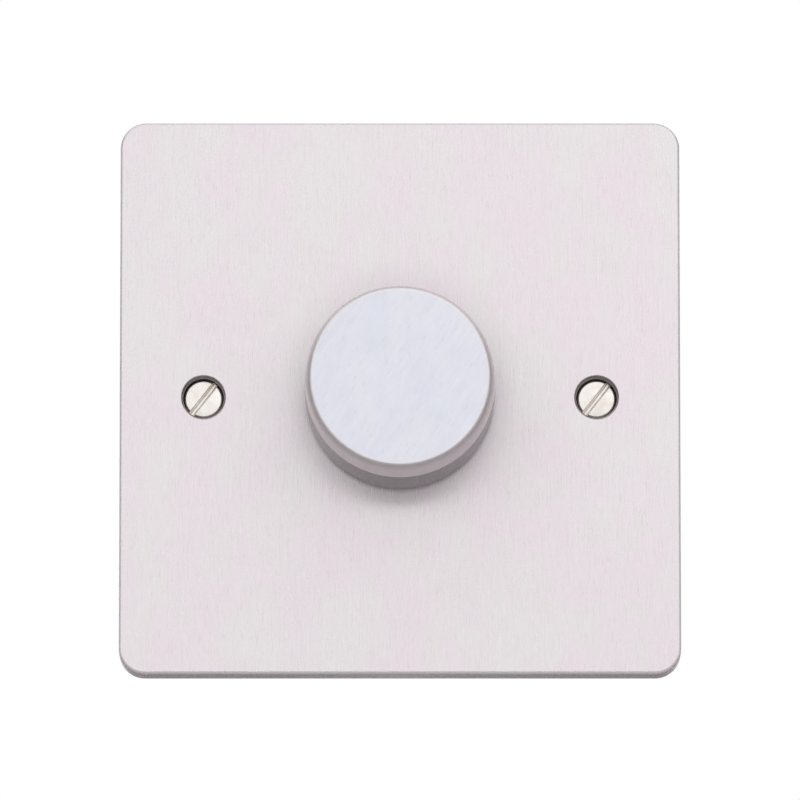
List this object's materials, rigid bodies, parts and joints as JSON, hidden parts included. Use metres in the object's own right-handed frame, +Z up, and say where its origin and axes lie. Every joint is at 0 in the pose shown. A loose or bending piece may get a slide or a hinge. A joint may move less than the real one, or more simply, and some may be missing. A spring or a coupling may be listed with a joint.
{
  "type": "dimmer switch",
  "caption": "Rotary push dimmer switch: square brushed metal wall plate, round metal knob in the middle, slotted fixing screws at the sides, module with wire terminals behind.",
  "frame": {"origin": "middle of the plate on the wall plane, where the back of the plate rests on the wall", "axes": "+X to the right, +Z up, +Y into the wall; the knob faces -Y"},
  "size_m": [0.086, 0.0457, 0.086],
  "materials": {
    "brushed_plate": "satin, brushed upright",
    "satin_knob": "satin, brushed across the face",
    "nickel_screws": "nickel plated",
    "frame_moulding": "fine grained",
    "case_moulding": "fine grained",
    "insert_moulding": "moulded",
    "sink_sheet": "rolled sheet",
    "bush_brass": "turned, nickel flashed",
    "nut_steel": "zinc plated",
    "shaft_metal": "turned",
    "spring_steel": "oiled",
    "housing_metal": "pressed sheet",
    "switch_moulding": "moulded",
    "plunger_moulding": "moulded",
    "contact_metal": "spring sheet",
    "phenolic_board": "laminate",
    "carbon_film": "printed film",
    "tinned_pins": "tinned",
    "board_laminate": "laminate",
    "triac_case": "moulded",
    "pad_sheet": "soft sheet",
    "small_screws": "zinc plated",
    "core_paint": "painted",
    "winding_wire": "enamelled",
    "capacitor_box": "moulded",
    "capacitor_dip": "dipped",
    "resistor_coat": "coated",
    "diode_glass": "glazed",
    "fuse_metal": "drawn case",
    "terminal_brass": "plain",
    "clamp_steel": "zinc plated"
  },
  "bodies": {
    "base": {"face_plate": "brushed_plate", "fixing_screws": "nickel_screws", "backing_frame": "frame_moulding", "module_case": "case_moulding", "heat_sink": "sink_sheet", "control_bush": "bush_brass", "bush_nut": "nut_steel", "lock_washer": "nut_steel", "return_spring": "spring_steel", "control_housing": "housing_metal", "switch_case": "switch_moulding", "fixed_contacts": "contact_metal", "track_board": "phenolic_board", "carbon_track": "carbon_film", "track_pins": "tinned_pins", "circuit_board": "board_laminate", "triac": "triac_case", "insulating_pad": "pad_sheet", "triac_screw": "small_screws", "triac_nut": "small_screws", "case_screws": "small_screws", "choke_core": "core_paint", "choke_winding": "winding_wire", "film_capacitor": "capacitor_box", "timing_capacitor": "capacitor_dip", "resistor_1": "resistor_coat", "resistor_2": "resistor_coat", "resistor_3": "resistor_coat", "trigger_diode": "diode_glass", "thermal_fuse": "fuse_metal", "terminal_1": "terminal_brass", "terminal_2": "terminal_brass", "terminal_3": "terminal_brass", "clamp_screws": "clamp_steel", "earth_terminal": "terminal_brass", "earth_screw": "clamp_steel"},
    "rotor": {"rotor": "switch_moulding", "wiper": "contact_metal"},
    "knob": {"knob_shell": "satin_knob", "knob_insert": "insert_moulding", "knob_spring_clip": "spring_steel", "shaft": "shaft_metal", "shaft_circlip": "spring_steel"},
    "plunger": {"switch_plunger": "plunger_moulding", "contact_bridge": "contact_metal"}
  },
  "joints": [
    {"name": "knob_turn", "type": "hinge", "parent": "base", "child": "rotor", "pos_m": [0, 0, 0], "axis": [0, 1, 0], "range_deg": [-135, 135]},
    {"name": "knob_push", "type": "slide", "parent": "rotor", "child": "knob", "axis": [0, 1, 0], "range_m": [0, 0.0012], "stiffness_N_per_m": 2500, "springref_m": -0.001},
    {"name": "plunger_push", "type": "slide", "parent": "base", "child": "plunger", "axis": [0, 1, 0], "range_m": [0, 0.0012], "deforming": ["return_spring"]}
  ],
  "couplings": [
    {"joint": "plunger_push", "follows": "knob_push", "ratio": 1}
  ]
}
